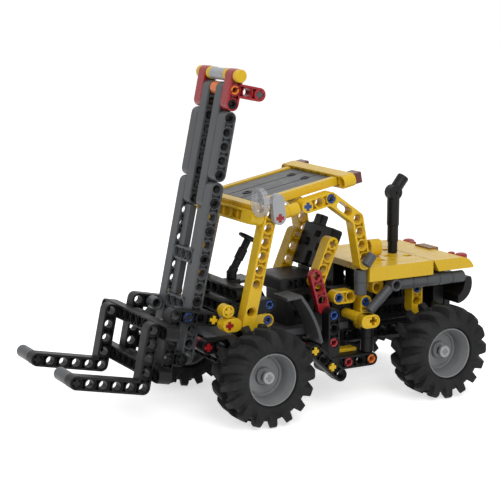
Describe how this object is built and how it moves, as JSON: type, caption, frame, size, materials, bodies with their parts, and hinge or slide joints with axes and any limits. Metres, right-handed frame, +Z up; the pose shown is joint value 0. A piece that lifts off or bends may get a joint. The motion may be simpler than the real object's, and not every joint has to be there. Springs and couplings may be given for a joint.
{
  "type": "toy rough terrain forklift",
  "caption": "Toy rough terrain forklift of pin-hole beams: lugged tyres, open cab, hood with exhaust, leaning mast with a sliding fork carriage and rear steering.",
  "frame": {"origin": "on the ground under the middle of the model's length", "axes": "+X forward towards the forks, +Y left, +Z up"},
  "size_m": [0.2661, 0.124, 0.1961],
  "materials": {
    "tyre": "matte moulded rubber",
    "rim_grey": "satin moulded plastic",
    "dark_grey": "semi-gloss moulded plastic",
    "black": "semi-gloss moulded plastic",
    "yellow": "semi-gloss moulded plastic",
    "red": "semi-gloss moulded plastic",
    "light_grey": "semi-gloss moulded plastic",
    "clear": "clear moulded plastic",
    "dark_red": "semi-gloss moulded plastic"
  },
  "bodies": {
    "chassis": {"cab_floor": "dark_grey", "mudguards": "dark_grey", "hood_tubes": "dark_grey", "roof_panel": "dark_grey", "front_stub_axles": "dark_grey", "frame_rails": "black", "mast_brackets": "black", "axle_beams": "black", "dash_frame": "black", "seat_base": "black", "steering_wheel": "black", "side_links": "black", "engine_block": "black", "frame_posts": "black", "rear_bumper": "black", "exhaust": "black", "seat_back": "black", "side_steps": "black", "front_pillars": "yellow", "rear_pillars": "yellow", "roof_cross_beams": "yellow", "roof_sides": "yellow", "hood_top": "yellow", "hood_rear": "yellow", "step_treads": "yellow", "side_tubes": "yellow", "seat_arms": "yellow", "control_lever": "red", "chassis_axles": "red", "work_lamp_bracket": "light_grey", "work_lamp": "clear", "tail_lamps": "dark_red"},
    "mast": {"mast_columns": "dark_grey", "mast_inner_columns": "dark_grey", "mast_spacers": "dark_grey", "mast_pivot_lugs": "black", "mast_top_arms": "red", "mast_top_bushes": "yellow", "mast_top_axle": "light_grey", "mast_top_roller": "light_grey"},
    "carriage": {"carriage_sides": "black", "carriage_bars": "black", "carriage_axles": "black", "carriage_rollers": "dark_grey", "forks": "black", "fork_tip_tubes": "dark_grey"},
    "knuckle_left": {"rear_knuckle_left": "dark_grey"},
    "knuckle_right": {"rear_knuckle_right": "dark_grey"},
    "wheel_front_left": {"tyre_front_left": "tyre", "rim_front_left": "rim_grey"},
    "wheel_front_right": {"tyre_front_right": "tyre", "rim_front_right": "rim_grey"},
    "wheel_rear_left": {"tyre_rear_left": "tyre", "rim_rear_left": "rim_grey"},
    "wheel_rear_right": {"tyre_rear_right": "tyre", "rim_rear_right": "rim_grey"}
  },
  "joints": [
    {"name": "mast_tilt", "type": "hinge", "parent": "chassis", "child": "mast", "pos_m": [0.04555, 0, 0.0419], "axis": [0, 1, 0], "range_deg": [0, 15]},
    {"name": "carriage_lift", "type": "slide", "parent": "mast", "child": "carriage", "axis": [-0.2045, 0, 0.9789], "range_m": [0, 0.104]},
    {"name": "rear_steer_left", "type": "hinge", "parent": "chassis", "child": "knuckle_left", "pos_m": [-0.09746, 0.026, 0.028], "axis": [0, 0, 1], "range_deg": [-18, 18]},
    {"name": "rear_steer_right", "type": "hinge", "parent": "chassis", "child": "knuckle_right", "pos_m": [-0.09746, -0.026, 0.028], "axis": [0, 0, 1], "range_deg": [-18, 18]},
    {"name": "front_left_spin", "type": "hinge", "parent": "chassis", "child": "wheel_front_left", "pos_m": [0.02254, 0.0493, 0.028], "axis": [0, 1, 0], "continuous": true},
    {"name": "front_right_spin", "type": "hinge", "parent": "chassis", "child": "wheel_front_right", "pos_m": [0.02254, -0.0493, 0.028], "axis": [0, 1, 0], "continuous": true},
    {"name": "rear_left_spin", "type": "hinge", "parent": "knuckle_left", "child": "wheel_rear_left", "pos_m": [-0.09746, 0.0493, 0.028], "axis": [0, 1, 0], "continuous": true},
    {"name": "rear_right_spin", "type": "hinge", "parent": "knuckle_right", "child": "wheel_rear_right", "pos_m": [-0.09746, -0.0493, 0.028], "axis": [0, 1, 0], "continuous": true}
  ],
  "couplings": [
    {"joint": "rear_steer_right", "follows": "rear_steer_left", "ratio": 1}
  ]
}
